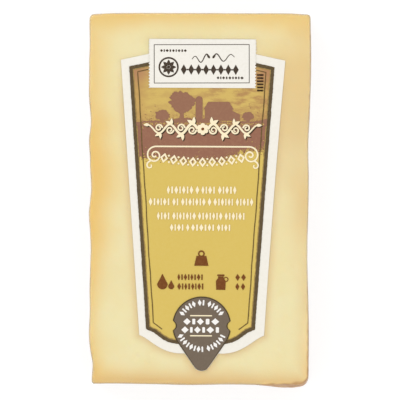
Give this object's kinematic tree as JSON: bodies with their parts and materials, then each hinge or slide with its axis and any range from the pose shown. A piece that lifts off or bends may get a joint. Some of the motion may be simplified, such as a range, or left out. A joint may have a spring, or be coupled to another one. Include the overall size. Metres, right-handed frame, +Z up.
{
  "type": "film-packed cheese slab",
  "caption": "Rectangular retail cut of firm washed-rind cheese, shrunk in clear film, lying flat with a tapered die-cut paper label and pointed badge on its upper face.",
  "frame": {"origin": "middle of the footprint, on the surface that the pack lies on", "axes": "+X across the label from its left to its right, +Y from the label's foot to its head, +Z up through the thickness, out of the labelled face"},
  "size_m": [0.066, 0.1116, 0.0196],
  "materials": {
    "cheese": "pale ivory cut paste of a firm cheese, satin",
    "rind": "washed rind, thin, brown to golden, slightly tacky",
    "film": "clear shrunk film, glossy",
    "paper": "uncoated off-white label paper",
    "gold_ink": "printed field, golden yellow, matte",
    "brown_ink": "printed field and figures, red-brown, matte",
    "dark_ink": "printed rough frame line, grey-brown, matte",
    "taupe_ink": "printed badge, taupe, matte",
    "cream_ink": "unprinted or cream shapes on the coloured fields"
  },
  "bodies": {
    "root": {"wrapped_cheese": "cheese", "front_label": "paper"}
  },
  "joints": []
}
